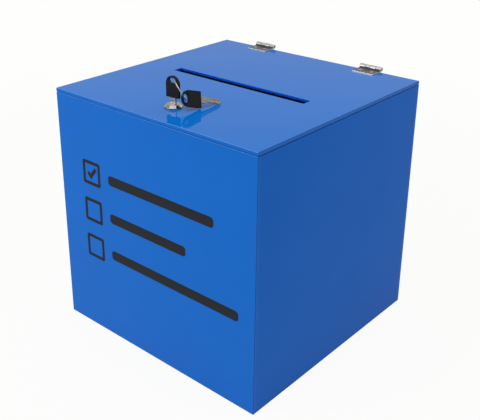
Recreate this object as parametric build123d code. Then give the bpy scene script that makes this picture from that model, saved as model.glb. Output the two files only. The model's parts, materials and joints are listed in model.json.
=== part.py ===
from build123d import *
from math import asin, atan, cos, radians, sin
import os

# Ballot box of blue acrylic sheet: a cemented open box, a lid on two butt hinges with a
# ballot slot through it, a cam lock in the lid, a key in the lock and a second key on the ring.
# X runs to the right as seen from the front, Y runs to the back, Z runs up.
# The origin is at the middle of the bottom face. All lengths are millimetres.

# Box and lid
box_width = 300.0
box_depth = 300.0
box_height = 300.0
sheet = 4.0
edge_round = 0.5
lid_gap = 0.5
lid_back_gap = 0.3

# Ballot slot in the lid
slot_length = 196.0
slot_width = 13.0
slot_inset = 147.75

# Clearances shared by all pieces, and how far an edge's middle may lie from a plane it is on
edge_tolerance = 0.05
overrun = 1.0
running_gap = 0.05
screw_gap = 0.1
seat_gap = 0.3

# Butt hinges, one leaf on top of the lid and one on the outside of the back panel
hinge_spread = 165.0
hinge_length = 30.0
hinge_leaf_reach = 20.8
leaf_thickness = 1.2
leaf_corner_round = 1.0
leaf_edge_round = 0.25
barrel_diameter = 5.6
hinge_pin_diameter = 3.0
pin_end_gap = 0.2
knuckle_count = 4
knuckle_gap = 0.3
knuckle_edge_round = 0.2

# Countersunk screws and nuts that hold the leaves
screw_diameter = 2.5
screw_head_diameter = 4.6
screw_head_height = 1.1
screw_end = 0.8
screw_recess_depth = 0.5
screw_recess_width = 0.6
screw_recess_length = 2.4
screw_inset = 7.0
nut_across_flats = 5.0
nut_height = 2.0

# Cam lock, measured from the top of the lid
lock_inset = 41.0
flange_diameter = 20.4
flange_rim_height = 1.2
flange_height = 3.8
flange_top_diameter = 14.8
flange_edge_round = 0.3
lock_thread_diameter = 16.0
lock_thread_pitch = 1.0
lock_thread_depth = 0.4
lock_flats_width = 14.0
lock_body_reach = 22.0
lock_hole_gap = 0.15
lock_washer_diameter = 21.0
lock_washer_thickness = 0.8
lock_nut_across_flats = 22.0
lock_nut_height = 4.0
plug_diameter = 12.0
plug_head_diameter = 13.2
plug_head_height = 1.2

# Cam and its fixing on the plug
cam_length = 34.0
cam_width = 14.0
cam_thickness = 2.0
cam_corner_round = 3.0
tang_width = 7.0
cam_washer_diameter = 9.0
cam_washer_thickness = 0.8
cam_screw_diameter = 4.0
cam_screw_reach = 6.2
cam_screw_head_diameter = 7.4
cam_screw_head_height = 2.4
cam_recess_depth = 1.2
cam_recess_width = 0.9
cam_recess_length = 4.2

# Catch block inside the front panel, over the turned cam
catch_width = 50.0
catch_reach = 14.0
catch_height = 12.0
catch_gap = 0.8
catch_edge_round = 0.5

# Wafers in the plug
wafer_count = 5
wafer_thickness = 0.9
wafer_pitch = 2.7
wafer_start = 3.6
wafer_width = 6.0

# Keys: a metal blade in a plastic head
key_head_width = 18.2
key_head_length = 24.2
key_head_thickness = 3.0
key_head_corner = 1.0
key_head_edge_round = 0.5
key_hole_width = 9.6
key_hole_height = 5.4
key_hole_inset = 5.2
key_shoulder_width = 7.5
key_shoulder_length = 6.5
key_blade_width = 5.6
key_blade_length = 19.3
key_blade_thickness = 2.0
key_blade_gap = 0.1
key_tip_width = 2.0
key_tip_length = 4.0
key_tang_width = 6.0
key_tang_length = 12.0
key_groove_width = 1.2
key_groove_depth = 0.4
key_notch_depth = 1.3
key_notch_shares = (0.35, 0.8, 0.55, 1.0, 0.45)
key_bearing = 3.0

# Key ring, and the second key that leans on it and on the lid
ring_diameter = 24.6
ring_wire = 1.2
ring_split = 0.4
ring_split_turn = 215.0
ring_bearing = -3.0
ring_roll = 47.0
loose_key_bearing = 74.0
loose_key_lean = 28.0

# Plain ballot list of dark film on the front panel, three boxes with a bar beside each
film_thickness = 0.15
film_box_size = 30.0
film_box_line = 4.0
film_box_round = 3.0
film_bar_height = 12.0
film_bar_start = 44.0
film_bar_lengths = (160.0, 120.0, 194.0)
film_row_pitch = 48.0
film_left = -110.0
film_middle_height = 160.0
film_tick_line = 4.6
film_tick_shares = ((-0.27, 0.02), (-0.07, -0.2), (0.34, 0.3))

# Places that follow from the sizes above
wall_top = box_height - sheet - lid_gap
lid_bottom = box_height - sheet
lid_depth = box_depth - lid_back_gap
front_face = -box_depth / 2
back_face = box_depth / 2
barrel_radius = barrel_diameter / 2
hinge_axis_y = back_face + barrel_radius
hinge_axis_z = box_height + barrel_radius
hinge_centres = (-hinge_spread / 2, hinge_spread / 2)
screw_length = leaf_thickness + sheet + nut_height + screw_end
lock_y = front_face + lock_inset
lock_face_z = box_height + flange_height
lock_body_end_z = box_height - lock_body_reach
cam_top_z = lock_body_end_z - seat_gap
cam_bottom_z = cam_top_z - cam_thickness
key_slot_depth = key_blade_length + seat_gap
key_reach = key_shoulder_length + key_blade_length
key_hole_x = key_hole_inset - key_head_length
key_hole_end = (key_hole_width - key_hole_height) / 2

key_turn = Rot(Z=key_bearing)

UP = (Align.CENTER, Align.CENTER, Align.MIN)
DOWN = (Align.CENTER, Align.CENTER, Align.MAX)
ALONG = (Align.MIN, Align.CENTER, Align.CENTER)
BACK = (Align.MAX, Align.CENTER, Align.CENTER)


def group(solids):
    return Compound(children=list(solids))


def edges_on(shape, axis, place):
    """Edges whose middle lies on a plane square to the axis."""
    return [e for e in shape.edges() if on_plane(e, axis, place)]


def edges_off(shape, axis, place):
    """Edges whose middle is away from a plane square to the axis."""
    return [e for e in shape.edges() if not on_plane(e, axis, place)]


def on_plane(edge, axis, place):
    return abs(edge.center().dot(axis.direction) - place) < edge_tolerance


# Cemented box


def wide_panel(side):
    """Front (side -1) or back (side 1) panel, the full width of the box."""
    panel = Pos(0, side * (box_depth - sheet) / 2, 0) * Box(box_width, sheet, wall_top, align=UP)
    inner_face = side * (box_depth / 2 - sheet)
    return fillet(edges_off(panel, Axis.Y, inner_face), edge_round)


def side_panel(side):
    """Left (side -1) or right (side 1) panel, between the front and the back."""
    panel = Box(sheet, box_depth - 2 * sheet, wall_top, align=UP)
    panel = Pos(side * (box_width - sheet) / 2, 0, 0) * panel
    outer = [e for e in edges_on(panel, Axis.X, side * box_width / 2) if abs(e.center().Y) < overrun]
    return fillet(outer, edge_round)


def base_panel():
    return Box(box_width - 2 * sheet, box_depth - 2 * sheet, sheet, align=UP)


def back_panel():
    panel = wide_panel(1)
    for centre in hinge_centres:
        for cut in leaf_screws(box_leaf_frame(centre), screw_shaft):
            panel -= cut
    return panel


def catch_block():
    top = cam_top_z + catch_gap + catch_height
    block = Box(catch_width, catch_reach, catch_height, align=(Align.CENTER, Align.MIN, Align.MAX))
    free_edges = edges_off(block, Axis.Y, 0)
    return Pos(0, front_face + sheet, top) * fillet(free_edges, catch_edge_round)


# Lid


def lid_panel():
    panel = Pos(0, -lid_back_gap / 2, lid_bottom) * Box(box_width, lid_depth, sheet, align=UP)
    panel = fillet(panel.edges(), edge_round)
    slot = Box(slot_length, slot_width, sheet + 2 * overrun, align=UP)
    panel -= Pos(0, front_face + slot_inset, lid_bottom - overrun) * slot
    panel -= Pos(0, lock_y, lid_bottom - overrun) * lock_shank(sheet + 2 * overrun, lock_hole_gap)
    for centre in hinge_centres:
        for cut in leaf_screws(lid_leaf_frame(centre), screw_shaft):
            panel -= cut
    return panel


# Hinges. In a leaf's frame X runs from the pin to the leaf's free edge, Y runs from the pin
# to the sheet that carries the leaf, and Z runs along the pin.


def lid_leaf_frame(centre):
    return Plane((centre, hinge_axis_y, hinge_axis_z), x_dir=(0, -1, 0), z_dir=(1, 0, 0))


def box_leaf_frame(centre):
    return Plane((centre, hinge_axis_y, hinge_axis_z), x_dir=(0, 0, -1), z_dir=(-1, 0, 0))


def hinge_leaf():
    """One leaf with every other knuckle; both leaves of a hinge are this same piece."""
    start = barrel_radius + knuckle_gap
    plate_align = (Align.MIN, Align.MAX, Align.CENTER)
    plate = Box(hinge_leaf_reach - start, leaf_thickness, hinge_length, align=plate_align)
    plate = Pos(start, barrel_radius, 0) * plate
    corners = edges_on(plate, Axis.X, hinge_leaf_reach)
    corners = [e for e in corners if abs(e.center().Z) > overrun]
    plate = fillet(corners, leaf_corner_round)
    rim = edges_on(plate, Axis.Y, barrel_radius - leaf_thickness)
    rim = [e for e in rim if e.center().X > start + overrun]
    plate = fillet(rim, leaf_edge_round)
    knuckle_length = (hinge_length - (knuckle_count - 1) * knuckle_gap) / knuckle_count
    for index in range(0, knuckle_count, 2):
        place = index * (knuckle_length + knuckle_gap) - hinge_length / 2
        knuckle = Cylinder(barrel_radius, knuckle_length, align=UP)
        knuckle = fillet(knuckle.edges(), knuckle_edge_round)
        strap = Box(start, leaf_thickness, knuckle_length, align=(Align.MIN, Align.MAX, Align.MIN))
        knuckle += Pos(0, barrel_radius, 0) * strap
        plate += Pos(0, 0, place) * knuckle
    plate -= Cylinder(hinge_pin_diameter / 2 + running_gap, hinge_length + overrun)
    for place in screw_places():
        plate -= place * screw_sink()
    return plate


def hinge_pin():
    """The pin, with rounded ends just inside the barrel."""
    pin = Cylinder(hinge_pin_diameter / 2, hinge_length - 2 * pin_end_gap)
    return fillet(pin.edges(), hinge_pin_diameter / 6)


def screw_places():
    """Where a leaf's screws sit, in the leaf's frame, with the screw running along +Y."""
    middle = (barrel_radius + hinge_leaf_reach) / 2
    outer_face = barrel_radius - leaf_thickness
    for side in (-1, 1):
        along = side * (hinge_length / 2 - screw_inset)
        yield Pos(middle, outer_face, along) * Rot(X=90)


def leaf_screws(frame, make):
    """Copies of a piece at both screws of a leaf."""
    return [frame * place * make() for place in screw_places()]


def screw_shaft():
    """The hole for a screw through the leaf and the sheet."""
    return Cylinder(screw_diameter / 2 + screw_gap, leaf_thickness + sheet + overrun, align=DOWN)


def screw_sink():
    """The countersunk hole in a leaf."""
    low = screw_diameter / 2 + screw_gap
    high = screw_head_diameter / 2 + screw_gap
    return Cone(low, high, screw_head_height, align=DOWN) + screw_shaft()


def screw():
    """A countersunk screw with its head's face at zero, running down."""
    body = Cone(screw_diameter / 2, screw_head_diameter / 2, screw_head_height, align=DOWN)
    body += Cylinder(screw_diameter / 2, screw_length, align=DOWN)
    return body - cross_recess(screw_recess_length, screw_recess_width, screw_recess_depth)


def cross_recess(length, width, depth):
    bar = Box(length, width, 2 * depth)
    return bar + Rot(Z=90) * bar


def hex_nut(across_flats, height, bore):
    outline = RegularPolygon(across_flats / 2, 6, major_radius=False)
    return extrude(outline, height) - Cylinder(bore / 2, 4 * height)


def screw_nut():
    """The nut against the far side of the sheet, in the screw's own frame."""
    nut = hex_nut(nut_across_flats, nut_height, screw_diameter + 2 * running_gap)
    return Pos(0, 0, -leaf_thickness - sheet - nut_height) * nut


def hinge_fasteners(leaf_frame, make):
    """A piece at every screw of both hinges on one side, as one group."""
    return group(piece for centre in hinge_centres for piece in leaf_screws(leaf_frame(centre), make))


# Cam lock


def lock_shank(height, gap):
    """A round bar with two flats, the section of the lock's threaded body."""
    bar = Cylinder(lock_thread_diameter / 2 + gap, height, align=UP)
    flats = Box(lock_thread_diameter * 2, lock_flats_width + 2 * gap, height, align=UP)
    return bar & flats


def thread_grooves():
    """Rings cut in the shank below the lid, one for each turn of the thread."""
    crest = lock_thread_diameter / 2 + lock_thread_depth
    root = lock_thread_diameter / 2 - lock_thread_depth
    half = lock_thread_pitch / 2
    turns = int((lock_body_reach - sheet) / lock_thread_pitch)
    tooth = Polyline((root, 0), (crest, half), (crest, -half), close=True)
    ring = revolve(make_face(Plane.XZ * tooth), Axis.Z)
    return [Pos(0, 0, -sheet - (turn + half) * lock_thread_pitch) * ring for turn in range(turns)]


def lock_body():
    """Flange on the lid, threaded shank through it, bore for the plug."""
    body = Cylinder(flange_diameter / 2, flange_rim_height, align=UP)
    slope_height = flange_height - flange_rim_height
    slope = Cone(flange_diameter / 2, flange_top_diameter / 2, slope_height, align=UP)
    body += Pos(0, 0, flange_rim_height) * slope
    rims = edges_on(body, Axis.Z, flange_rim_height) + edges_on(body, Axis.Z, flange_height)
    body = fillet(rims, flange_edge_round)
    shank = Pos(0, 0, -lock_body_reach) * lock_shank(lock_body_reach, 0)
    for groove in thread_grooves():
        shank -= groove
    body += shank
    bore_length = 2 * (lock_body_reach + flange_height)
    body -= Cylinder(plug_diameter / 2 + running_gap, bore_length)
    counterbore = Cylinder(plug_head_diameter / 2 + running_gap, flange_height, align=UP)
    body -= Pos(0, 0, flange_height - plug_head_height - running_gap) * counterbore
    return Pos(0, lock_y, box_height) * body


def lock_washer():
    ring = Cylinder(lock_washer_diameter / 2, lock_washer_thickness, align=DOWN)
    ring -= Cylinder(lock_thread_diameter / 2 + lock_hole_gap, 4 * lock_washer_thickness)
    return Pos(0, lock_y, lid_bottom) * ring


def lock_nut():
    bore = lock_thread_diameter + 2 * running_gap
    nut = hex_nut(lock_nut_across_flats, lock_nut_height, bore)
    return Pos(0, lock_y, lid_bottom - lock_washer_thickness - lock_nut_height) * nut


def lock_axis(height):
    return Pos(0, lock_y, height)


def lock_plug():
    """The turning core: head, keyway, wafer slots and a square tang for the cam."""
    reach = lock_face_z - cam_top_z
    plug = Cylinder(plug_diameter / 2, reach, align=DOWN)
    plug += Cylinder(plug_head_diameter / 2, plug_head_height, align=DOWN)
    plug += Pos(0, 0, -reach) * Box(tang_width, tang_width, cam_thickness, align=DOWN)
    plug -= key_turn * blade_hole(key_blade_gap, 2 * key_slot_depth)
    room_width = wafer_width + 2 * running_gap
    room_height = wafer_thickness + 2 * running_gap
    for height in wafer_heights():
        plug -= Pos(0, 0, height) * key_turn * Box(plug_head_diameter, room_width, room_height)
    screw_hole = Cylinder(cam_screw_diameter / 2 + running_gap, cam_screw_reach + seat_gap, align=UP)
    plug -= Pos(0, 0, -reach - cam_thickness) * screw_hole
    return lock_axis(lock_face_z) * plug


def blade_hole(gap, height):
    """A hole that the key's blade passes with a gap all round."""
    return Box(key_blade_width + 2 * gap, key_blade_thickness + 2 * gap, height)


def wafer_heights():
    """Wafer middles below the lock's face."""
    return [-wafer_start - index * wafer_pitch for index in range(wafer_count)]


def lock_wafers():
    """Thin plates that slide in the plug, each with a window for the key's blade."""
    plate = Cylinder(plug_diameter / 2 - running_gap, wafer_thickness)
    plate &= Box(plug_diameter, wafer_width, wafer_thickness)
    plate -= blade_hole(2 * key_blade_gap, 2 * wafer_thickness)
    return group(lock_axis(lock_face_z + height) * key_turn * plate for height in wafer_heights())


def cam():
    """Flat bar on the plug's tang, pointing to the right while the lid is free."""
    bar = Box(cam_length, cam_width, cam_thickness, align=(Align.MIN, Align.CENTER, Align.MIN))
    tip = edges_on(bar, Axis.X, cam_length)
    tip = [e for e in tip if abs(e.center().Y) > overrun]
    bar = fillet(tip, cam_corner_round)
    bar += Cylinder(cam_width / 2, cam_thickness, align=UP)
    square = Box(tang_width + 2 * running_gap, tang_width + 2 * running_gap, 4 * cam_thickness)
    return lock_axis(cam_bottom_z) * (bar - square)


def cam_washer():
    ring = Cylinder(cam_washer_diameter / 2, cam_washer_thickness, align=DOWN)
    ring -= Cylinder(cam_screw_diameter / 2 + screw_gap, 4 * cam_washer_thickness)
    return lock_axis(cam_bottom_z) * ring


def cam_screw():
    """Pan head under the washer, shank up into the plug."""
    head = Cylinder(cam_screw_head_diameter / 2, cam_screw_head_height, align=DOWN)
    head = fillet(edges_on(head, Axis.Z, -cam_screw_head_height), cam_screw_head_height / 3)
    recess = cross_recess(cam_recess_length, cam_recess_width, cam_recess_depth)
    head -= Pos(0, 0, -cam_screw_head_height) * recess
    head += Cylinder(cam_screw_diameter / 2, cam_washer_thickness + cam_screw_reach, align=UP)
    return lock_axis(cam_bottom_z - cam_washer_thickness) * head


# Keys. In a key's frame X runs along the blade from the head's flat end, which is at zero,
# Y runs across the key and Z is square to its face.


def key_blade():
    half = key_blade_width / 2
    start = key_shoulder_length
    taper = key_reach - key_tip_length
    points = [
        (0, key_shoulder_width / 2),
        (start, key_shoulder_width / 2),
        (start, half),
        (taper, half),
        (key_reach, key_tip_width / 2),
        (key_reach, -key_tip_width / 2),
        (taper, -half),
    ]
    pitch = (taper - start) / (len(key_notch_shares) + 1)
    for index, share in reversed(list(enumerate(key_notch_shares))):
        middle = start + (index + 1) * pitch
        points.append((middle + pitch / 2, -half))
        points.append((middle, -half + share * key_notch_depth))
    points += [(start + pitch / 2, -half), (start, -half)]
    points += [(start, -key_shoulder_width / 2), (0, -key_shoulder_width / 2)]
    blade = extrude(make_face(Polyline(*points, close=True)), key_blade_thickness / 2, both=True)
    groove = Box(key_reach, key_groove_width, 2 * key_groove_depth, align=ALONG)
    for side in (-1, 1):
        blade -= Pos(start, key_groove_width / 2, side * key_blade_thickness / 2) * groove
    return blade + key_tang()


def key_tang():
    """The end of the blade that the head is moulded round."""
    return Box(key_tang_length, key_tang_width, key_blade_thickness, align=BACK)


def key_head():
    radius = key_head_width / 2
    straight = key_head_length - radius
    block = Box(straight, key_head_width, key_head_thickness, align=BACK)
    corners = [e for e in edges_on(block, Axis.X, 0) if abs(e.center().Y) > overrun]
    block = fillet(corners, key_head_corner)
    block += Pos(-straight, 0, 0) * Cylinder(radius, key_head_thickness)
    rim = edges_on(block, Axis.Z, key_head_thickness / 2)
    rim += edges_on(block, Axis.Z, -key_head_thickness / 2)
    block = fillet(rim, key_head_edge_round)
    hole = extrude(SlotOverall(key_hole_width, key_hole_height), key_head_thickness, both=True)
    block -= Pos(key_hole_x, 0, 0) * Rot(Z=90) * hole
    return block - key_tang()


def lock_key_frame():
    """The key in the lock stands upright, its blade down, its shoulder on the plug."""
    turn = radians(key_bearing)
    height = lock_face_z + seat_gap + key_shoulder_length
    return Plane((0, lock_y, height), x_dir=(0, 0, -1), z_dir=(sin(turn), -cos(turn), 0))


def loose_key_directions():
    """Along, across and square to the second key, which rests on its head's corner and its tip."""
    bearing = radians(loose_key_bearing)
    lean = radians(loose_key_lean)
    step = (key_head_thickness - key_blade_thickness) / 2 * sin(lean)
    slopes = []
    for reach, width in ((key_reach, key_tip_width), (key_reach - key_tip_length, key_blade_width)):
        slopes.append(((key_head_width - width) / 2 * cos(lean) + step) / reach)
    pitch = atan(min(slopes))
    along = Vector(cos(bearing) * cos(pitch), sin(bearing) * cos(pitch), -sin(pitch))
    level = Vector(sin(bearing), -cos(bearing), 0)
    raised = level.cross(along)
    square = level * cos(lean) + raised * sin(lean)
    across = square.cross(along)
    return along, across, square


def wire_in_lock_key():
    """Where the ring's wire passes the hole of the key in the lock."""
    return lock_key_frame().from_local_coords(Vector(key_hole_x, key_hole_end, 0))


def ring_line():
    """The straight line through the ring, from one key's hole to the other's."""
    start = wire_in_lock_key()
    along, across, square = loose_key_directions()
    low_corner = key_head_width / 2 * across.Z + key_head_thickness / 2 * square.Z
    head_end_z = box_height + seat_gap + low_corner
    wire_z = head_end_z + key_hole_x * along.Z - key_hole_end * across.Z
    slope = asin((start.Z - wire_z) / ring_diameter)
    bearing = radians(ring_bearing)
    line = Vector(cos(bearing) * cos(slope), sin(bearing) * cos(slope), -sin(slope))
    return start, line


def loose_key_frame():
    start, line = ring_line()
    along, across, square = loose_key_directions()
    wire = start + line * ring_diameter
    origin = wire - along * key_hole_x + across * key_hole_end
    return Plane(origin, x_dir=along, z_dir=square)


def key_ring():
    """Round wire through both keys, with its ends nearly meeting."""
    start, line = ring_line()
    level = line.cross(Vector(0, 0, 1)).normalized()
    raised = level.cross(line)
    bulge = level * cos(radians(ring_roll)) + raised * sin(radians(ring_roll))
    frame = Plane(start + line * (ring_diameter / 2), x_dir=line, z_dir=line.cross(bulge))
    ring = Torus(ring_diameter / 2, ring_wire / 2)
    split = Pos(ring_diameter / 2, 0, 0) * Box(3 * ring_wire, ring_split, 3 * ring_wire)
    return frame * (ring - Rot(Z=ring_split_turn) * split)


# Film on the front panel


def film_on_front(outline):
    """A flat outline drawn in the front view, made a film that stands on the front face."""
    return Pos(0, front_face, 0) * extrude(Plane.XZ * outline, film_thickness)


def front_mark():
    """Three boxes in a column, the top one ticked, with a plain bar beside each."""
    pieces = []
    inner = film_box_size - 2 * film_box_line
    box_outline = RectangleRounded(film_box_size, film_box_size, film_box_round)
    box_outline -= Rectangle(inner, inner)
    for row, bar_length in enumerate(film_bar_lengths):
        height = film_middle_height + (1 - row) * film_row_pitch
        bar = RectangleRounded(bar_length, film_bar_height, film_bar_height / 3)
        bar_middle = film_left + film_bar_start + bar_length / 2
        pieces.append(film_on_front(Pos(film_left + film_box_size / 2, height) * box_outline))
        pieces.append(film_on_front(Pos(bar_middle, height) * bar))
    stroke = Polyline(*[(inner * along, inner * up) for along, up in film_tick_shares])
    tick = Pos(film_left + film_box_size / 2, film_middle_height + film_row_pitch)
    pieces.append(film_on_front(tick * trace(stroke, film_tick_line)))
    return group(pieces)


left, right = hinge_centres
nodes = {
    "base_panel": base_panel(),
    "front_panel": wide_panel(-1),
    "back_panel": back_panel(),
    "left_panel": side_panel(-1),
    "right_panel": side_panel(1),
    "catch_block": catch_block(),
    "front_mark": front_mark(),
    "lid_panel": lid_panel(),
    "left_hinge_lid_leaf": lid_leaf_frame(left) * hinge_leaf(),
    "left_hinge_box_leaf": box_leaf_frame(left) * hinge_leaf(),
    "left_hinge_pin": lid_leaf_frame(left) * hinge_pin(),
    "right_hinge_lid_leaf": lid_leaf_frame(right) * hinge_leaf(),
    "right_hinge_box_leaf": box_leaf_frame(right) * hinge_leaf(),
    "right_hinge_pin": lid_leaf_frame(right) * hinge_pin(),
    "lid_hinge_screws": hinge_fasteners(lid_leaf_frame, screw),
    "lid_hinge_nuts": hinge_fasteners(lid_leaf_frame, screw_nut),
    "box_hinge_screws": hinge_fasteners(box_leaf_frame, screw),
    "box_hinge_nuts": hinge_fasteners(box_leaf_frame, screw_nut),
    "lock_body": lock_body(),
    "lock_washer": lock_washer(),
    "lock_nut": lock_nut(),
    "lock_plug": lock_plug(),
    "lock_wafers": lock_wafers(),
    "cam": cam(),
    "cam_washer": cam_washer(),
    "cam_screw": cam_screw(),
    "lock_key_blade": lock_key_frame() * key_blade(),
    "lock_key_head": lock_key_frame() * key_head(),
    "key_ring": key_ring(),
    "loose_key_blade": loose_key_frame() * key_blade(),
    "loose_key_head": loose_key_frame() * key_head(),
}

os.makedirs("parts", exist_ok=True)
for name, shape in nodes.items():
    export_step(shape, f"parts/{name}.step")
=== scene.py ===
import bpy
import bmesh
import json
import math
from mathutils import Matrix, Vector


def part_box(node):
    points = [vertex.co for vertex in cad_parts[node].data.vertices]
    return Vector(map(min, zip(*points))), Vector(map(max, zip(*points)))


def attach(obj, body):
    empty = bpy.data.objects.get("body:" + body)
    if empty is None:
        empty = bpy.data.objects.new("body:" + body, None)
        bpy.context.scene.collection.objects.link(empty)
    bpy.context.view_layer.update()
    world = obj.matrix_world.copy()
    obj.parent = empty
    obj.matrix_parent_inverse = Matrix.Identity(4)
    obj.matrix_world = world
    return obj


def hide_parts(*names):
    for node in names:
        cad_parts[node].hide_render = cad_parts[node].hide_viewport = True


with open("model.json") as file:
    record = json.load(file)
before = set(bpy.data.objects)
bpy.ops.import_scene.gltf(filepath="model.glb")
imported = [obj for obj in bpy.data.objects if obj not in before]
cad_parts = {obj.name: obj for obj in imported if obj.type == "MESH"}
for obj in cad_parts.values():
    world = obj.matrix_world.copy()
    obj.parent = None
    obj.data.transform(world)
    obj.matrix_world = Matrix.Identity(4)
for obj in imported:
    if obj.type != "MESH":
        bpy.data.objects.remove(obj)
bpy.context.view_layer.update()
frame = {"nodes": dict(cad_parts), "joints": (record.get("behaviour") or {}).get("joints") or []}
nodes = frame["nodes"]
joints = {joint["name"]: joint for joint in frame["joints"]}
mm = 0.001
print("frame loaded,", len(nodes), "nodes")


def linearColour(hexText):
    # sRGB hex to the linear values that sockets take
    parts = [int(hexText[i:i + 2], 16) / 255 for i in (1, 3, 5)]
    return [p / 12.92 if p <= 0.04045 else ((p + 0.055) / 1.055) ** 2.4 for p in parts] + [1]


def newMaterial(name):
    material = bpy.data.materials.new(name)
    material.use_nodes = True
    material.node_tree.nodes.clear()
    return material, material.node_tree


def addNode(tree, kind, values=None, links=None, **settings):
    # values fill sockets, links join them to other nodes' outputs, settings are the node's own switches
    made = tree.nodes.new("ShaderNode" + kind)
    for name, value in settings.items():
        setattr(made, name, value)
    for socket, value in (values or {}).items():
        made.inputs[socket].default_value = value
    for socket, source in (links or {}).items():
        tree.links.new(source, made.inputs[socket])
    return made


# The camera stands where the box's corners fall as in the photograph

camera = {
    "lens": 59.91,  # mm, on the sensor below
    "sensor": 36,
    "shift": (0.0729, -0.125),
    "place": (0.5744, -0.6824, 0.5769),
    "bearing": 42.69,  # degrees round from the front, towards the right
    "dip": 21.96,
    "roll": -0.38,
    "reach": (0.01, 50),  # metres, the nearest and the farthest that it sees
}


def makeCamera():
    data = bpy.data.cameras.new("camera")
    data.sensor_width = camera["sensor"]
    data.lens = camera["lens"]
    data.shift_x, data.shift_y = camera["shift"]
    data.clip_start, data.clip_end = camera["reach"]
    cameraObject = bpy.data.objects.new("camera", data)
    bpy.context.collection.objects.link(cameraObject)
    turn = Matrix.Rotation(math.radians(camera["bearing"]), 4, "Z")
    tilt = Matrix.Rotation(math.radians(90 - camera["dip"]), 4, "X")
    roll = Matrix.Rotation(math.radians(camera["roll"]), 4, "Z")
    cameraObject.matrix_world = Matrix.Translation(camera["place"]) @ turn @ tilt @ roll
    bpy.context.scene.camera = cameraObject


studio = {
    "floorColour": "#F3F3F1",
    "backdropColour": "#FEFEFD",
    "floorRadius": 4.0,
    "floorSides": 96,
    "floorDrop": 0.0002,  # metres, to keep the floor clear of the box's bottom face
    "floorLift": 0.93,  # how far the floor is raised to white under the object
    "fadeStart": 0.5,  # metres from the middle where the floor starts to turn plain white
    "fadeEnd": 1.3,
    "fillStrength": 0.5,  # of the room's light on the object
    "aim": (0, 0, 0.18),
    "lamps": {
        # name: place and size in metres, watts
        "topSoftbox": ((0.1, -0.45, 1.45), 1.3, 10.0),
        "frontSoftbox": ((-0.7, -1.5, 0.6), 1.1, 8.8),
        "rightSoftbox": ((1.5, 0.3, 0.5), 0.9, 1.3),
        "backStrip": ((0.2, 1.5, 0.9), 0.8, 3.2),
    },
}


def seenDirectly(tree):
    # 1 for what the camera, a gloss or a see-through surface sees of the background
    path = addNode(tree, "LightPath")
    gloss = addNode(tree, "Math", operation="MAXIMUM",
                    links={0: path.outputs["Is Camera Ray"], 1: path.outputs["Is Glossy Ray"]})
    seen = addNode(tree, "Math", operation="MAXIMUM",
                   links={0: gloss.outputs[0], 1: path.outputs["Is Transmission Ray"]})
    return seen.outputs[0]


def makeFloor():
    floorMesh = bmesh.new()
    bmesh.ops.create_circle(floorMesh, cap_ends=True, segments=studio["floorSides"],
                            radius=studio["floorRadius"])
    mesh = bpy.data.meshes.new("floor")
    floorMesh.to_mesh(mesh)
    floorMesh.free()
    floor = bpy.data.objects.new("floor", mesh)
    bpy.context.collection.objects.link(floor)
    floor.location.z = -studio["floorDrop"]

    # Matt white laminate. The camera sees it raised towards white, and it keeps the box's shadow.
    material, tree = newMaterial("floorLaminate")
    white = linearColour(studio["backdropColour"])
    matt = addNode(tree, "BsdfDiffuse", {"Color": linearColour(studio["floorColour"])})
    glow = addNode(tree, "Emission", {"Color": white, "Strength": 1})
    place = addNode(tree, "TexCoord")
    reach = addNode(tree, "VectorMath", operation="LENGTH", links={0: place.outputs["Object"]})
    lift = addNode(tree, "MapRange",
                   {1: studio["fadeStart"], 2: studio["fadeEnd"], 3: studio["floorLift"], 4: 1},
                   {0: reach.outputs["Value"]}, interpolation_type="SMOOTHSTEP")
    share = addNode(tree, "Math", operation="MULTIPLY", links={0: lift.outputs[0], 1: seenDirectly(tree)})
    blend = addNode(tree, "MixShader", links={0: share.outputs[0], 1: matt.outputs[0], 2: glow.outputs[0]})
    addNode(tree, "OutputMaterial", links={0: blend.outputs[0]})
    mesh.materials.append(material)


def makeLight():
    world = bpy.data.worlds.new("studio")
    bpy.context.scene.world = world
    world.use_nodes = True
    tree = world.node_tree
    tree.nodes.clear()
    white = linearColour(studio["backdropColour"])
    room = addNode(tree, "Background", {0: white, 1: studio["fillStrength"]})
    backdrop = addNode(tree, "Background", {0: white, 1: 1})
    blend = addNode(tree, "MixShader",
                    links={0: seenDirectly(tree), 1: room.outputs[0], 2: backdrop.outputs[0]})
    addNode(tree, "OutputWorld", links={0: blend.outputs[0]})
    aim = Vector(studio["aim"])
    for name, (place, size, watts) in studio["lamps"].items():
        data = bpy.data.lights.new(name, "AREA")
        data.size = size
        data.energy = watts
        lamp = bpy.data.objects.new(name, data)
        bpy.context.collection.objects.link(lamp)
        lamp.location = place
        lamp.rotation_euler = (aim - Vector(place)).to_track_quat("-Z", "Y").to_euler()


makeCamera()
makeFloor()
makeLight()
print("camera, floor and light made")


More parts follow.
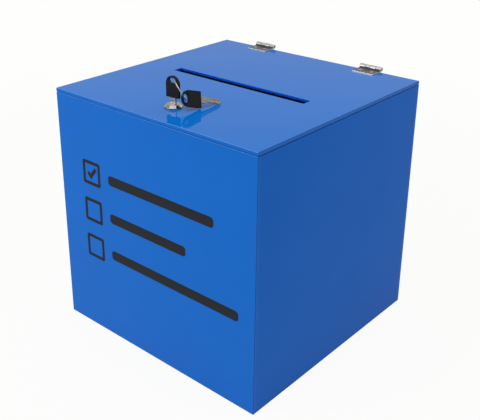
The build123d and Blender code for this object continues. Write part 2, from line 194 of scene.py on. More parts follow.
acrylicFinish = {
    # the sheet's blue on its faces, and below the deeper blue of its smears; greener on the lid, purer and
    # darker on the side:
    # these per-face copies are painted light, standing in for how the light falls on each face
    "colour": {"lidAcrylic": "#026BC4", "frontAcrylic": "#0266C3", "sideAcrylic": "#0262C1"},
    "deepColour": {"lidAcrylic": "#0266BF", "frontAcrylic": "#0260BC", "sideAcrylic": "#025CB9"},
    "ior": 1.3,  # under acrylic's 1.49: it keeps the walls deep blue and still pales the lid at a low angle
    "sheen": {"lidAcrylic": 0.57, "frontAcrylic": 0.49, "sideAcrylic": 0.33},  # how much of it each face has
    "roughness": (0.03, 0.09),
    "smearSize": 70,  # mm across a wiped patch
    "smearLimits": (0.35, 0.65),  # of the smears' noise, from the smoothest to the roughest
    "patchLimits": (0.5, 0.62),  # of the same noise, where hairlines gather
    "scratchWidth": 1,  # mm, drawn wider than real hairlines, so that they show
    "scratchTurn": (0.4, 0.3, 0.6),
    "scratchStretch": (1, 0.02, 0.3),
    "scratchLimits": (0.7, 0.76),
    "scratchRoughness": 0.22,
    "waveSize": 45,
    "waveHeight": 0.05,
    # how squarely a surface must lie across the sheet to be its face, and to be its sawn edge
    "faceLimits": (0.93, 0.99),
    "edgeLimits": (0.25, 0.1),
    "edgeColour": "#0260BC",
    "arrisHighlightColour": "#4A8FE2",  # upper corners at the front and back, painted pale as a highlight
    "cornerShadeColour": "#01479A",  # the other corners, painted deep blue as shade
    "cornerLimits": (0.15, 0.4),  # how far a corner must turn up, or to the side, to be one or the other
    "sawPitch": 0.6,  # saw marks on the sheet's edge, coarser than real ones
    "sawHeight": 0.03,
    "sawStrength": 0.4,
    "edgeRoughness": 0.2,
    "slotMiddle": -2.25,  # mm, the ballot slot's place along y, and half its reach with a little to spare
    "slotHalf": (98.5, 7.5),
    "slotShade": (296.9, 297.9),  # between these heights the slot's wall goes from painted shade below to painted light above
    "slotLitColour": "#0158D8",
    "slotPaintedShade": "#01060F",
}


def castAcrylic(name, across):
    # Opaque cast acrylic sheet: dead flat and mirror bright, with faint wiping smears and hairlines.
    # Its sawn edges are duller than its faces. Its rounded corners and its slot's wall carry painted light and
    # shade.
    # across is the axis through the sheet.
    material, tree = newMaterial(name)
    place = addNode(tree, "TexCoord")
    position = place.outputs["Object"]
    smear = addNode(tree, "TexNoise",
                    {"Scale": 1 / (acrylicFinish["smearSize"] * mm), "Detail": 3, "Roughness": 0.6},
                    {"Vector": position})
    stretch = addNode(tree, "Mapping",
                      {"Rotation": acrylicFinish["scratchTurn"], "Scale": acrylicFinish["scratchStretch"]},
                      {"Vector": position})
    hairline = addNode(tree, "TexNoise", {"Scale": 1 / (acrylicFinish["scratchWidth"] * mm), "Detail": 1},
                       {"Vector": stretch.outputs[0]})
    start, full = acrylicFinish["scratchLimits"]
    scratch = addNode(tree, "MapRange", {1: start, 2: full}, {0: hairline.outputs[0]})
    start, full = acrylicFinish["patchLimits"]
    patch = addNode(tree, "MapRange", {1: start, 2: full}, {0: smear.outputs[0]})
    scuffed = addNode(tree, "Math", links={0: scratch.outputs[0], 1: patch.outputs[0]}, operation="MULTIPLY")
    start, full = acrylicFinish["smearLimits"]
    low, high = acrylicFinish["roughness"]
    face = addNode(tree, "MapRange", {1: start, 2: full, 3: low, 4: high}, {0: smear.outputs[0]})
    faceRough = addNode(tree, "Mix", {3: acrylicFinish["scratchRoughness"]},
                        {0: scuffed.outputs[0], 2: face.outputs[0]})
    # the sheet's edge and the rounded corner beside it, told by which way the surface points
    facing = addNode(tree, "VectorMath", {1: across}, {0: place.outputs["Normal"]}, operation="DOT_PRODUCT")
    flat = addNode(tree, "Math", links={0: facing.outputs["Value"]}, operation="ABSOLUTE")
    start, full = acrylicFinish["edgeLimits"]
    edge = addNode(tree, "MapRange", {1: start, 2: full}, {0: flat.outputs[0]})
    offEdge = addNode(tree, "MapRange", {1: full, 2: start}, {0: flat.outputs[0]})
    start, full = acrylicFinish["faceLimits"]
    offFace = addNode(tree, "MapRange", {1: full, 2: start}, {0: flat.outputs[0]})
    arris = addNode(tree, "Math", links={0: offFace.outputs[0], 1: offEdge.outputs[0]}, operation="MULTIPLY")
    saw = addNode(tree, "TexNoise", {"Scale": 1 / (acrylicFinish["sawPitch"] * mm), "Detail": 2},
                  {"Vector": position})
    edgeRough = addNode(tree, "Math", {1: acrylicFinish["edgeRoughness"]}, {0: saw.outputs[0]},
                        operation="MULTIPLY")
    rough = addNode(tree, "Mix", links={0: edge.outputs[0], 2: faceRough.outputs[0], 3: edgeRough.outputs[0]})
    shade = addNode(tree, "Mix", {6: linearColour(acrylicFinish["colour"][name]),
                                  7: linearColour(acrylicFinish["deepColour"][name])},
                    {0: smear.outputs[0]}, data_type="RGBA")
    edged = addNode(tree, "Mix", {7: linearColour(acrylicFinish["edgeColour"])},
                    {0: edge.outputs[0], 6: shade.outputs[2]}, data_type="RGBA")
    # rounded corners that turn up, and not to the side, get a painted highlight; the rest get a painted shade
    way = addNode(tree, "SeparateXYZ", links={0: place.outputs["Normal"]})
    start, full = acrylicFinish["cornerLimits"]
    upward = addNode(tree, "MapRange", {1: start, 2: full}, {0: way.outputs[2]})
    sideways = addNode(tree, "Math", links={0: way.outputs[0]}, operation="ABSOLUTE")
    notSide = addNode(tree, "MapRange", {1: full, 2: start}, {0: sideways.outputs[0]})
    litCornerMask = addNode(tree, "Math", links={0: upward.outputs[0], 1: notSide.outputs[0]}, operation="MULTIPLY")
    paintedCornerLight = addNode(tree, "Mix", {6: linearColour(acrylicFinish["cornerShadeColour"]),
                                       7: linearColour(acrylicFinish["arrisHighlightColour"])},
                         {0: litCornerMask.outputs[0]}, data_type="RGBA")
    rounded = addNode(tree, "Mix", links={0: arris.outputs[0], 6: edged.outputs[2], 7: paintedCornerLight.outputs[2]},
                      data_type="RGBA")
    # inside the ballot slot the cut edge is painted lit near the top face and painted in shade below
    at = addNode(tree, "SeparateXYZ", links={0: position})
    halfAlong, halfAcross = acrylicFinish["slotHalf"]
    insideX = addNode(tree, "Math", {1: 0, 2: halfAlong * mm}, {0: at.outputs[0]}, operation="COMPARE")
    insideY = addNode(tree, "Math", {1: acrylicFinish["slotMiddle"] * mm, 2: halfAcross * mm},
                      {0: at.outputs[1]}, operation="COMPARE")
    inside = addNode(tree, "Math", links={0: insideX.outputs[0], 1: insideY.outputs[0]}, operation="MULTIPLY")
    slotEdge = addNode(tree, "Math", links={0: inside.outputs[0], 1: edge.outputs[0]}, operation="MULTIPLY")
    start, full = acrylicFinish["slotShade"]
    lit = addNode(tree, "MapRange", {1: start * mm, 2: full * mm}, {0: at.outputs[2]})
    slotLightAndShade = addNode(tree, "Mix", {6: linearColour(acrylicFinish["slotPaintedShade"]),
                                     7: linearColour(acrylicFinish["slotLitColour"])},
                       {0: lit.outputs[0]}, data_type="RGBA")
    colour = addNode(tree, "Mix", links={0: slotEdge.outputs[0], 6: rounded.outputs[2], 7: slotLightAndShade.outputs[2]},
                     data_type="RGBA")
    wave = addNode(tree, "TexNoise", {"Scale": 1 / (acrylicFinish["waveSize"] * mm), "Detail": 1},
                   {"Vector": position})
    waviness = addNode(tree, "Bump", {"Strength": 1, "Distance": acrylicFinish["waveHeight"] * mm},
                       {"Height": wave.outputs[0]})
    sawMarks = addNode(tree, "Math", links={0: saw.outputs[0], 1: edge.outputs[0]}, operation="MULTIPLY")
    relief = addNode(tree, "Bump",
                     {"Strength": acrylicFinish["sawStrength"], "Distance": acrylicFinish["sawHeight"] * mm},
                     {"Height": sawMarks.outputs[0], "Normal": waviness.outputs[0]})
    skin = addNode(tree, "BsdfPrincipled",
                   {"Specular IOR Level": 0, "IOR": acrylicFinish["ior"],
                    "Coat Weight": acrylicFinish["sheen"][name], "Coat IOR": acrylicFinish["ior"]},
                   {"Base Color": colour.outputs[2], "Coat Roughness": rough.outputs[0],
                    "Normal": relief.outputs[0], "Coat Normal": relief.outputs[0]})
    addNode(tree, "OutputMaterial", links={0: skin.outputs[0]})
    return material


metalFinishes = {
    # colour, worn colour, roughness low and high, grain in mm, stretch of the grain, bump in mm;
    # the grain is drawn coarse enough to show
    # die cast, polished and chromed: glassy
    "chromedZinc": ("#888A8B", "#737270", 0.05, 0.16, 2.2, (1, 1, 1), 0.004),
    # drawn rod with its sawn ends gone dark
    "pinSteel": ("#6B6660", "#57514B", 0.22, 0.38, 0.5, (0.1, 1, 1), 0.004),
    # bright zinc plate with a faint yellow bloom
    "zincPlate": ("#A9AAAB", "#9C9680", 0.28, 0.45, 1.2, (1, 1, 1), 0.006),
    # punched strip with dull faces
    "stampedBrass": ("#C2A862", "#A0843F", 0.25, 0.42, 0.6, (1, 1, 0.2), 0.004),
    # nickel on brass, wiped bright by use
    "nickelKey": ("#B6B2AA", "#A29B8E", 0.14, 0.32, 0.45, (1, 1, 1), 0.006),
    # the same, dulled, on the second key
    "dulledKey": ("#828281", "#736C60", 0.18, 0.36, 0.45, (1, 1, 1), 0.006),
    # nickelled wire, drawn and barrel polished
    "nickelWire": ("#9E9E97", "#817D72", 0.10, 0.26, 0.5, (1, 1, 1), 0.004),
}

metalGrain = {
    # shared by all the metals
    "limits": (0.3, 0.7),  # of the grain's noise, from the smoothest to the roughest
    "strength": 0.6,
    "wornSize": 9,  # grains across a worn patch
    "wornLimits": (0.46, 0.72),
}


def platedMetal(name):
    colour, worn, low, high, grain, stretch, height = metalFinishes[name]
    material, tree = newMaterial(name)
    place = addNode(tree, "TexCoord")
    turned = addNode(tree, "Mapping", {"Scale": stretch}, {"Vector": place.outputs["Object"]})
    fine = addNode(tree, "TexNoise", {"Scale": 1 / (grain * mm), "Detail": 4, "Roughness": 0.65},
                   {"Vector": turned.outputs[0]})
    cloud = addNode(tree, "TexNoise", {"Scale": 1 / (grain * metalGrain["wornSize"] * mm), "Detail": 3},
                    {"Vector": place.outputs["Object"]})
    start, full = metalGrain["wornLimits"]
    patch = addNode(tree, "MapRange", {1: start, 2: full}, {0: cloud.outputs[0]})
    tone = addNode(tree, "Mix", {6: linearColour(colour), 7: linearColour(worn)},
                   {0: patch.outputs[0]}, data_type="RGBA")
    start, full = metalGrain["limits"]
    rough = addNode(tree, "MapRange", {1: start, 2: full, 3: low, 4: high}, {0: fine.outputs[0]})
    bump = addNode(tree, "Bump", {"Strength": metalGrain["strength"], "Distance": height * mm},
                   {"Height": fine.outputs[0]})
    skin = addNode(tree, "BsdfPrincipled", {"Metallic": 1},
                   {"Base Color": tone.outputs[2], "Roughness": rough.outputs[0], "Normal": bump.outputs[0]})
    addNode(tree, "OutputMaterial", links={0: skin.outputs[0]})
    return material


hingeFinish = {
    # the barrel and the other curved parts, painted light as a highlight
    "colour": "#B0AFAE",
    "endHighlightColour": "#E4E4E3",  # the leaf's cut end, painted bright as a highlight
    "endReach": (18.9, 19.7),  # mm from the pin's middle, where the cut end's painted highlight comes in
    # the flat leaf, painted dark grey as shade, with lighter places at random
    "flatColour": "#5A5856",
    "flatShadePatch": "#646160",
    "patchSize": 5,  # mm across a lighter place on the flat leaf
    "flatLimits": (0.93, 0.99),  # how squarely the surface must lie to be the flat leaf
    "roughness": (0.14, 0.28),
    "flatRoughness": (0.42, 0.55),
    "grain": 0.5,  # mm between rolling lines, drawn coarser than real ones
    "grainStretch": (0.04, 1, 1),
    "grainHeight": 0.004,
}


def rolledHinge(name, across):
    # Strip steel rolled into a barrel, with lines from rolling. Painted highlights make the barrel bright and
    # the cut end brighter, and painted shade makes the flat leaf a dark grey. across is the axis through the
    # flat leaf.
    material, tree = newMaterial(name)
    place = addNode(tree, "TexCoord")
    position = place.outputs["Object"]
    turned = addNode(tree, "Mapping", {"Scale": hingeFinish["grainStretch"]}, {"Vector": position})
    lines = addNode(tree, "TexNoise",
                    {"Scale": 1 / (hingeFinish["grain"] * mm), "Detail": 4, "Roughness": 0.65},
                    {"Vector": turned.outputs[0]})
    cloud = addNode(tree, "TexNoise", {"Scale": 1 / (hingeFinish["patchSize"] * mm), "Detail": 3},
                    {"Vector": position})
    facing = addNode(tree, "VectorMath", {1: across}, {0: place.outputs["Normal"]}, operation="DOT_PRODUCT")
    level = addNode(tree, "Math", links={0: facing.outputs["Value"]}, operation="ABSOLUTE")
    start, full = hingeFinish["flatLimits"]
    flat = addNode(tree, "MapRange", {1: start, 2: full}, {0: level.outputs[0]})
    # the flat leaf's painted shade
    shadedLeafTone = addNode(tree, "Mix", {6: linearColour(hingeFinish["flatColour"]),
                                 7: linearColour(hingeFinish["flatShadePatch"])},
                   {0: cloud.outputs[0]}, data_type="RGBA")
    # how far the surface lies from the pin, seen along the pin
    fromPin = addNode(tree, "VectorMath", {1: joints["lid_hinge"]["pos_m"]}, {0: position},
                      operation="SUBTRACT")
    squareToPin = addNode(tree, "VectorMath", {1: (0, 1, 1)}, {0: fromPin.outputs[0]}, operation="MULTIPLY")
    reach = addNode(tree, "VectorMath", links={0: squareToPin.outputs[0]}, operation="LENGTH")
    start, full = hingeFinish["endReach"]
    atEnd = addNode(tree, "MapRange", {1: start * mm, 2: full * mm}, {0: reach.outputs["Value"]})
    # the barrel's painted highlight, brighter at the cut end
    rolled = addNode(tree, "Mix", {6: linearColour(hingeFinish["colour"]),
                                   7: linearColour(hingeFinish["endHighlightColour"])},
                     {0: atEnd.outputs[0]}, data_type="RGBA")
    colour = addNode(tree, "Mix", links={0: flat.outputs[0], 6: rolled.outputs[2], 7: shadedLeafTone.outputs[2]},
                     data_type="RGBA")
    start, full = metalGrain["limits"]
    low, high = hingeFinish["roughness"]
    bright = addNode(tree, "MapRange", {1: start, 2: full, 3: low, 4: high}, {0: lines.outputs[0]})
    low, high = hingeFinish["flatRoughness"]
    matt = addNode(tree, "MapRange", {1: start, 2: full, 3: low, 4: high}, {0: lines.outputs[0]})
    rough = addNode(tree, "Mix", links={0: flat.outputs[0], 2: bright.outputs[0], 3: matt.outputs[0]})
    bump = addNode(tree, "Bump",
                   {"Strength": metalGrain["strength"], "Distance": hingeFinish["grainHeight"] * mm},
                   {"Height": lines.outputs[0]})
    skin = addNode(tree, "BsdfPrincipled", {"Metallic": 1},
                   {"Base Color": colour.outputs[2], "Roughness": rough.outputs[0], "Normal": bump.outputs[0]})
    addNode(tree, "OutputMaterial", links={0: skin.outputs[0]})
    return material


headFinish = {
    "colour": "#0B0B0C",
    "rubbedColour": "#161617",
    "rubbedSize": 6,  # mm across a rubbed place
    "rubbedLimits": (0.42, 0.75),
    "roughness": (0.36, 0.52),  # of the places rubbed smooth and of the rest
    "roughLimits": (0.3, 0.7),
    "ior": 1.53,
    "specular": 0.12,  # low, because the photograph's heads hardly mirror the white room
    "grain": 0.35,  # mm, spark-eroded mould texture, drawn coarser than real
    "grainHeight": 0.02,
    "grainStrength": 0.5,
}


def mouldedHead():
    # Injection moulded black ABS from a spark-eroded mould: satin, with the faces rubbed a little grey.
    material, tree = newMaterial("mouldedHead")
    place = addNode(tree, "TexCoord")
    position = place.outputs["Object"]
    grain = addNode(tree, "TexNoise", {"Scale": 1 / (headFinish["grain"] * mm), "Detail": 3},
                    {"Vector": position})
    handled = addNode(tree, "TexNoise",
                      {"Scale": 1 / (headFinish["rubbedSize"] * mm), "Detail": 3, "Roughness": 0.6},
                      {"Vector": position})
    start, full = headFinish["rubbedLimits"]
    rubbed = addNode(tree, "MapRange", {1: start, 2: full}, {0: handled.outputs[0]})
    colour = addNode(tree, "Mix", {6: linearColour(headFinish["colour"]),
                                   7: linearColour(headFinish["rubbedColour"])},
                     {0: rubbed.outputs[0]}, data_type="RGBA")
    start, full = headFinish["roughLimits"]
    low, high = headFinish["roughness"]
    rough = addNode(tree, "MapRange", {1: start, 2: full, 3: high, 4: low}, {0: handled.outputs[0]})
    bump = addNode(tree, "Bump",
                   {"Strength": headFinish["grainStrength"], "Distance": headFinish["grainHeight"] * mm},
                   {"Height": grain.outputs[0]})
    skin = addNode(tree, "BsdfPrincipled",
                   {"IOR": headFinish["ior"], "Specular IOR Level": headFinish["specular"]},
                   {"Base Color": colour.outputs[2], "Roughness": rough.outputs[0], "Normal": bump.outputs[0]})
    addNode(tree, "OutputMaterial", links={0: skin.outputs[0]})
    return material


filmFinish = {
    "colour": "#14171C",
    "fadedColour": "#1B1E24",
    "fadedSize": 40,  # mm across a faded patch
    "roughness": 0.55,
    "ior": 1.5,
    "specular": 0.12,  # a matt grade, which hardly mirrors the white room
    "pebbleSize": 0.5,  # mm, coarser than the real ones
    "pebbleHeight": 0.012,
    "pebbleStrength": 0.4,
}


def vinylFilm():
    # Cut vinyl sign film: matt, nearly black, with a faint pebble from its liner.
    material, tree = newMaterial("vinylFilm")
    place = addNode(tree, "TexCoord")
    position = place.outputs["Object"]
    pebble = addNode(tree, "TexNoise", {"Scale": 1 / (filmFinish["pebbleSize"] * mm), "Detail": 2},
                     {"Vector": position})
    cloud = addNode(tree, "TexNoise", {"Scale": 1 / (filmFinish["fadedSize"] * mm), "Detail": 2},
                    {"Vector": position})
    colour = addNode(tree, "Mix", {6: linearColour(filmFinish["colour"]),
                                   7: linearColour(filmFinish["fadedColour"])},
                     {0: cloud.outputs[0]}, data_type="RGBA")
    bump = addNode(tree, "Bump",
                   {"Strength": filmFinish["pebbleStrength"], "Distance": filmFinish["pebbleHeight"] * mm},
                   {"Height": pebble.outputs[0]})
    skin = addNode(tree, "BsdfPrincipled",
                   {"Roughness": filmFinish["roughness"], "IOR": filmFinish["ior"],
                    "Specular IOR Level": filmFinish["specular"]},
                   {"Base Color": colour.outputs[2], "Normal": bump.outputs[0]})
    addNode(tree, "OutputMaterial", links={0: skin.outputs[0]})
    return material


def giveFinish(material, *names):
    for name in names:
        mesh = nodes[name].data
        mesh.materials.clear()
        mesh.materials.append(material)


lidAcrylic = castAcrylic("lidAcrylic", (0, 0, 1))
frontAcrylic = castAcrylic("frontAcrylic", (0, 1, 0))
sideAcrylic = castAcrylic("sideAcrylic", (1, 0, 0))
metals = {name: platedMetal(name) for name in metalFinishes}
headPlastic = mouldedHead()
signFilm = vinylFilm()

giveFinish(lidAcrylic, "lid_panel", "base_panel")
giveFinish(frontAcrylic, "front_panel", "back_panel", "catch_block")
giveFinish(sideAcrylic, "left_panel", "right_panel")
giveFinish(signFilm, "front_mark")
giveFinish(rolledHinge("lidLeafSteel", (0, 0, 1)), "left_hinge_lid_leaf", "right_hinge_lid_leaf")
giveFinish(rolledHinge("boxLeafSteel", (0, 1, 0)), "left_hinge_box_leaf", "right_hinge_box_leaf")
giveFinish(metals["pinSteel"], "left_hinge_pin", "right_hinge_pin")
giveFinish(metals["zincPlate"], "lid_hinge_screws", "lid_hinge_nuts", "box_hinge_screws", "box_hinge_nuts",
           "lock_washer", "cam", "cam_washer", "cam_screw")
giveFinish(metals["chromedZinc"], "lock_body", "lock_nut", "lock_plug")
giveFinish(metals["stampedBrass"], "lock_wafers")
giveFinish(metals["nickelKey"], "lock_key_blade")
giveFinish(metals["dulledKey"], "loose_key_blade")
giveFinish(metals["nickelWire"], "key_ring")
giveFinish(headPlastic, "lock_key_head", "loose_key_head")
print("finishes made")


def newPiece(name, mesh, material, body):
    # a finished bmesh, in metres and in place, becomes a piece of the box
    data = bpy.data.meshes.new(name)
    mesh.to_mesh(data)
    mesh.free()
    data.materials.append(material)
    piece = bpy.data.objects.new(name, data)
    bpy.context.collection.objects.link(piece)
    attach(piece, body)
    return piece


def spinCorner(mesh, corner, centre, degrees, steps):
    # draws an arc onwards from a vertex and returns its last vertex
    made = bmesh.ops.spin(mesh, geom=[corner], cent=centre, axis=(0, 0, 1), dvec=(0, 0, 0),
                          angle=math.radians(degrees), steps=steps, use_merge=False, use_duplicate=False)
    return [item for item in made["geom_last"] if isinstance(item, bmesh.types.BMVert)][0]


keyHead = {
    # mm, with x along the key away from the head, y across it and z square to its face
    "width": 18.2,
    "length": 24.2,
    "thickness": 3.0,
    "corner": 1.0,
    "cornerSteps": 5,
    "holeWidth": 9.6,
    "holeHeight": 5.4,
    "holeInset": 5.2,
    "rimWidth": 0.7,  # raised border round the outline and the hole; with its slope it stays under the corner
    "rimSlope": 0.25,
    "panelDepth": 0.22,
    "edgeRound": 0.42,
    "rimSteps": 3,
    "creaseAngle": 0.6,  # radians, over which an edge stays sharp
    "arcSteps": 41,  # these two give the outline and the hole the same number of corners
    "holeSteps": 26,
}


def headOutline(mesh):
    # one face's outline and its hole, drawn flat and bridged
    half = keyHead["width"] / 2
    straight = half - keyHead["length"]
    start = mesh.verts.new((straight, half, 0))
    end = spinCorner(mesh, start, (straight, 0, 0), 180, keyHead["arcSteps"])
    lowCorner = mesh.verts.new((0, -half, 0))
    highCorner = mesh.verts.new((0, half, 0))
    for pair in ((end, lowCorner), (lowCorner, highCorner), (highCorner, start)):
        mesh.edges.new(pair)
    bmesh.ops.bevel(mesh, geom=[lowCorner, highCorner], offset=keyHead["corner"], offset_type="OFFSET",
                    affect="VERTICES", segments=keyHead["cornerSteps"], profile=0.5, material=-1)
    radius = keyHead["holeHeight"] / 2
    reach = keyHead["holeWidth"] / 2 - radius
    middle = keyHead["holeInset"] - keyHead["length"]
    first = mesh.verts.new((middle + radius, reach, 0))
    topEnd = spinCorner(mesh, first, (middle, reach, 0), 180, keyHead["holeSteps"])
    second = mesh.verts.new((middle - radius, -reach, 0))
    bottomEnd = spinCorner(mesh, second, (middle, -reach, 0), 180, keyHead["holeSteps"])
    mesh.edges.new((topEnd, second))
    mesh.edges.new((bottomEnd, first))
    bmesh.ops.bridge_loops(mesh, edges=mesh.edges[:])


def insetFaces(mesh, faces, thickness, rise):
    # draws a face region in from its outline and its hole, and lifts or sinks it on the way
    bmesh.ops.inset_region(mesh, faces=faces, thickness=thickness, depth=rise, use_even_offset=True,
                           use_boundary=True)


def roundRim(mesh, faces):
    # steps in and up along a quarter round
    radius = keyHead["edgeRound"]
    angles = [math.radians(90 * step / keyHead["rimSteps"]) for step in range(keyHead["rimSteps"] + 1)]
    for low, high in zip(angles, angles[1:]):
        insetFaces(mesh, faces, radius * (math.cos(low) - math.cos(high)),
                   radius * (math.sin(high) - math.sin(low)))


def makeKeyHead(name, place, body):
    # Moulded head: rounded rims, and on each face a shallow panel inside a raised border
    mesh = bmesh.new()
    headOutline(mesh)
    wall = keyHead["thickness"] - 2 * keyHead["edgeRound"]
    bmesh.ops.translate(mesh, verts=mesh.verts[:], vec=(0, 0, -wall / 2))
    made = bmesh.ops.extrude_face_region(mesh, geom=mesh.faces[:])
    raised = [item for item in made["geom"] if isinstance(item, bmesh.types.BMVert)]
    bmesh.ops.translate(mesh, verts=raised, vec=(0, 0, wall))
    bmesh.ops.recalc_face_normals(mesh, faces=mesh.faces[:])
    for side in (1, -1):
        faces = [item for item in mesh.faces if item.normal.z * side > 0.999]  # flat on this side
        roundRim(mesh, faces)
        insetFaces(mesh, faces, keyHead["rimWidth"] - keyHead["edgeRound"], 0)
        insetFaces(mesh, faces, keyHead["rimSlope"], -keyHead["panelDepth"])
    for face in mesh.faces:
        face.smooth = True
    for edge in mesh.edges:
        edge.smooth = edge.calc_face_angle(0) < keyHead["creaseAngle"]
    bmesh.ops.scale(mesh, verts=mesh.verts[:], vec=(mm, mm, mm))
    bmesh.ops.transform(mesh, verts=mesh.verts[:], matrix=place)
    piece = newPiece(name, mesh, headPlastic, body)
    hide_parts(name.replace("moulded_", ""))


def axesAt(origin, along, across, square):
    # the transform that puts a piece's x, y and z on these three directions
    turn = Matrix((along, across, square)).transposed().to_4x4()
    return Matrix.Translation(origin) @ turn


keyPlaces = {
    # degrees and mm
    "bearing": 3.0,  # of the key in the lock
    "shoulderHeight": 6.8,  # from the lock's face to its head
    "looseBearing": 74.0,
    "looseLean": 28.0,
    "loosePitch": 14.893,
    "wireOffset": (-19.0, 2.1),  # where the ring's wire passes a head's hole, along and across
}


def lockKeyPlace():
    turn = math.radians(keyPlaces["bearing"])
    along = Vector((0, 0, -1))
    square = Vector((math.sin(turn), -math.cos(turn), 0))
    origin = Vector(joints["lock_turn"]["pos_m"]) + Vector((0, 0, keyPlaces["shoulderHeight"] * mm))
    return axesAt(origin, along, square.cross(along), square)


def looseKeyPlace():
    bearing, lean, pitch = (math.radians(keyPlaces[name])
                            for name in ("looseBearing", "looseLean", "loosePitch"))
    along = Vector((math.cos(bearing) * math.cos(pitch), math.sin(bearing) * math.cos(pitch),
                    -math.sin(pitch)))
    level = Vector((math.sin(bearing), -math.cos(bearing), 0))
    square = level * math.cos(lean) + level.cross(along) * math.sin(lean)
    across = square.cross(along)
    holeAlong, holeAcross = keyPlaces["wireOffset"]
    wire = Vector(joints["loose_key_swing"]["pos_m"])
    origin = wire - along * holeAlong * mm + across * holeAcross * mm
    return axesAt(origin, along, across, square)


makeKeyHead("moulded_lock_key_head", lockKeyPlace(), "lock_key")
makeKeyHead("moulded_loose_key_head", looseKeyPlace(), "loose_key")
print("key heads made")


splitRing = {
    "diameter": 24.6,  # mm, between the middles of the wire
    "wireWidth": 1.2,
    "wireHeight": 0.58,  # each of its two turns
    "wireCorner": 0.16,
    "cornerSteps": 2,
    "turnGap": 0.03,
    "roll": 47.0,  # degrees about the line between the two keys' holes
    "firstEnd": 232.0,  # degrees round from the loose key
    "crossing": 26.0,  # degrees in which the wire steps from one turn to the next
    "endGap": 1.2,
    "stepsPerDegree": 0.3,
    "fewestSteps": 3,
}


def makeSplitRing():
    # Flat wire wound twice round, stepping over once between its two ends
    near, far = (Vector(joints[name]["pos_m"]) for name in ("ring_swing", "loose_key_swing"))
    line = (far - near).normalized()
    level = line.cross(Vector((0, 0, 1))).normalized()
    roll = math.radians(splitRing["roll"])
    bulge = level * math.cos(roll) + level.cross(line) * math.sin(roll)
    square = line.cross(bulge)
    mesh = bmesh.new()
    wide, high = splitRing["wireWidth"] / 2, splitRing["wireHeight"] / 2
    lift = (splitRing["wireHeight"] + splitRing["turnGap"]) / 2
    middle = splitRing["diameter"] / 2
    section = mesh.faces.new([mesh.verts.new((middle + x, 0, z - lift))
                              for x, z in ((-wide, -high), (wide, -high), (wide, high), (-wide, high))])
    bmesh.ops.bevel(mesh, geom=section.verts[:], offset=splitRing["wireCorner"], offset_type="OFFSET",
                    affect="VERTICES", segments=splitRing["cornerSteps"], profile=0.5, material=-1)
    mesh.faces.ensure_lookup_table()
    last = [mesh.faces[0]]
    gentle = splitRing["crossing"] / 4
    flat = 360 - splitRing["crossing"] - splitRing["endGap"]
    rise = 2 * lift
    # degrees to turn and how far the wire climbs on the way
    for degrees, climb in ((flat + splitRing["endGap"], 0), (gentle, rise / 6), (2 * gentle, rise * 2 / 3),
                           (gentle, rise / 6), (flat, 0)):
        steps = max(splitRing["fewestSteps"], round(degrees * splitRing["stepsPerDegree"]))
        geom = last + [part for face in last for part in (*face.edges, *face.verts)]
        made = bmesh.ops.spin(mesh, geom=geom, cent=(0, 0, 0), axis=(0, 0, 1), dvec=(0, 0, climb / steps),
                              angle=math.radians(degrees), steps=steps, use_merge=False, use_duplicate=False)
        last = [item for item in made["geom_last"] if isinstance(item, bmesh.types.BMFace)]
    bmesh.ops.recalc_face_normals(mesh, faces=mesh.faces[:])
    for face in mesh.faces:
        face.smooth = len(face.verts) == 4  # all but the wire's two ends
    bmesh.ops.rotate(mesh, verts=mesh.verts[:], cent=(0, 0, 0),
                     matrix=Matrix.Rotation(math.radians(splitRing["firstEnd"]), 3, "Z"))
    bmesh.ops.scale(mesh, verts=mesh.verts[:], vec=(mm, mm, mm))
    bmesh.ops.transform(mesh, verts=mesh.verts[:], matrix=axesAt((near + far) / 2, line, bulge, square))
    ring = newPiece("wound_key_ring", mesh, metals["nickelWire"], "key_ring")
    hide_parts("key_ring")
    print("split ring made,", len(ring.data.vertices), "vertices")


makeSplitRing()


cementBead = {
    "radius": 1.6,  # mm, hollow fillet that the solvent cement leaves in the inside corners
    "steps": 5,
    "topGap": 2.0,
    "colour": "#1E74CF",
    "roughness": 0.12,
    "ior": 1.49,
    "specular": 0.4,
    "rippleSize": 5,
    "rippleHeight": 0.25,
    "rippleStrength": 0.5,
}


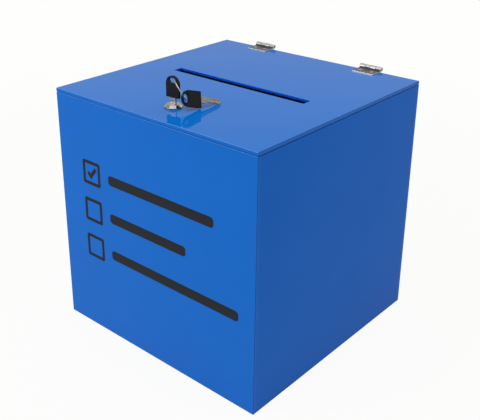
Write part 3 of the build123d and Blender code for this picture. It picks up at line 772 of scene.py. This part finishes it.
def setCement():
    # Solvent cement that has set in the corner: clear acrylic with some of the sheet's blue, rippled
    # and glossy.
    material, tree = newMaterial("setCement")
    place = addNode(tree, "TexCoord")
    ripple = addNode(tree, "TexNoise", {"Scale": 1 / (cementBead["rippleSize"] * mm), "Detail": 2},
                     {"Vector": place.outputs["Object"]})
    colour = addNode(tree, "Mix", {6: linearColour(acrylicFinish["deepColour"]["sideAcrylic"]),
                                   7: linearColour(cementBead["colour"])},
                     {0: ripple.outputs[0]}, data_type="RGBA")
    bump = addNode(tree, "Bump",
                   {"Strength": cementBead["rippleStrength"], "Distance": cementBead["rippleHeight"] * mm},
                   {"Height": ripple.outputs[0]})
    skin = addNode(tree, "BsdfPrincipled",
                   {"Roughness": cementBead["roughness"], "IOR": cementBead["ior"],
                    "Specular IOR Level": cementBead["specular"]},
                   {"Base Color": colour.outputs[2], "Normal": bump.outputs[0]})
    addNode(tree, "OutputMaterial", links={0: skin.outputs[0]})
    return material


def makeBead(mesh, start, along, sides):
    # one bead: a small hollow corner section, drawn out from start over the vector along
    radius = cementBead["radius"] * mm
    first, second = (Vector(side) * radius for side in sides)
    corner = mesh.verts.new(start)
    arcStart = mesh.verts.new(start + first)
    made = bmesh.ops.spin(mesh, geom=[arcStart], cent=start + first + second,
                          axis=first.cross(second).normalized(), dvec=(0, 0, 0), angle=-math.radians(90),
                          steps=cementBead["steps"], use_merge=False, use_duplicate=False)
    arcEnd = [item for item in made["geom_last"] if isinstance(item, bmesh.types.BMVert)][0]
    for pair in ((corner, arcStart), (arcEnd, corner)):
        mesh.edges.new(pair)
    outline = [edge for edge in mesh.edges if not edge.link_faces]
    face = bmesh.ops.contextual_create(mesh, geom=outline)["faces"]
    made = bmesh.ops.extrude_face_region(mesh, geom=face)
    moved = [item for item in made["geom"] if isinstance(item, bmesh.types.BMVert)]
    bmesh.ops.translate(mesh, verts=moved, vec=along)


def makeCementBeads():
    left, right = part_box("left_panel")[1].x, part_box("right_panel")[0].x
    front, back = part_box("front_panel")[1].y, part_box("back_panel")[0].y
    bottom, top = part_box("base_panel")[1].z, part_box("left_panel")[1].z - cementBead["topGap"] * mm
    toRight, toLeft, toBack, toFront, up = (Vector(way) for way in
                                            ((1, 0, 0), (-1, 0, 0), (0, 1, 0), (0, -1, 0), (0, 0, 1)))
    mesh = bmesh.new()
    for x, across in ((left, toRight), (right, toLeft)):
        for y, inward in ((front, toBack), (back, toFront)):
            makeBead(mesh, Vector((x, y, bottom)), up * (top - bottom), (across, inward))
        makeBead(mesh, Vector((x, front, bottom)), toBack * (back - front), (across, up))
    for y, inward in ((front, toBack), (back, toFront)):
        makeBead(mesh, Vector((left, y, bottom)), toRight * (right - left), (inward, up))
    bmesh.ops.recalc_face_normals(mesh, faces=mesh.faces[:])
    newPiece("cement_beads", mesh, setCement(), "box")
    print("cement beads made")


makeCementBeads()

bpy.context.scene.view_settings.view_transform = "Standard"
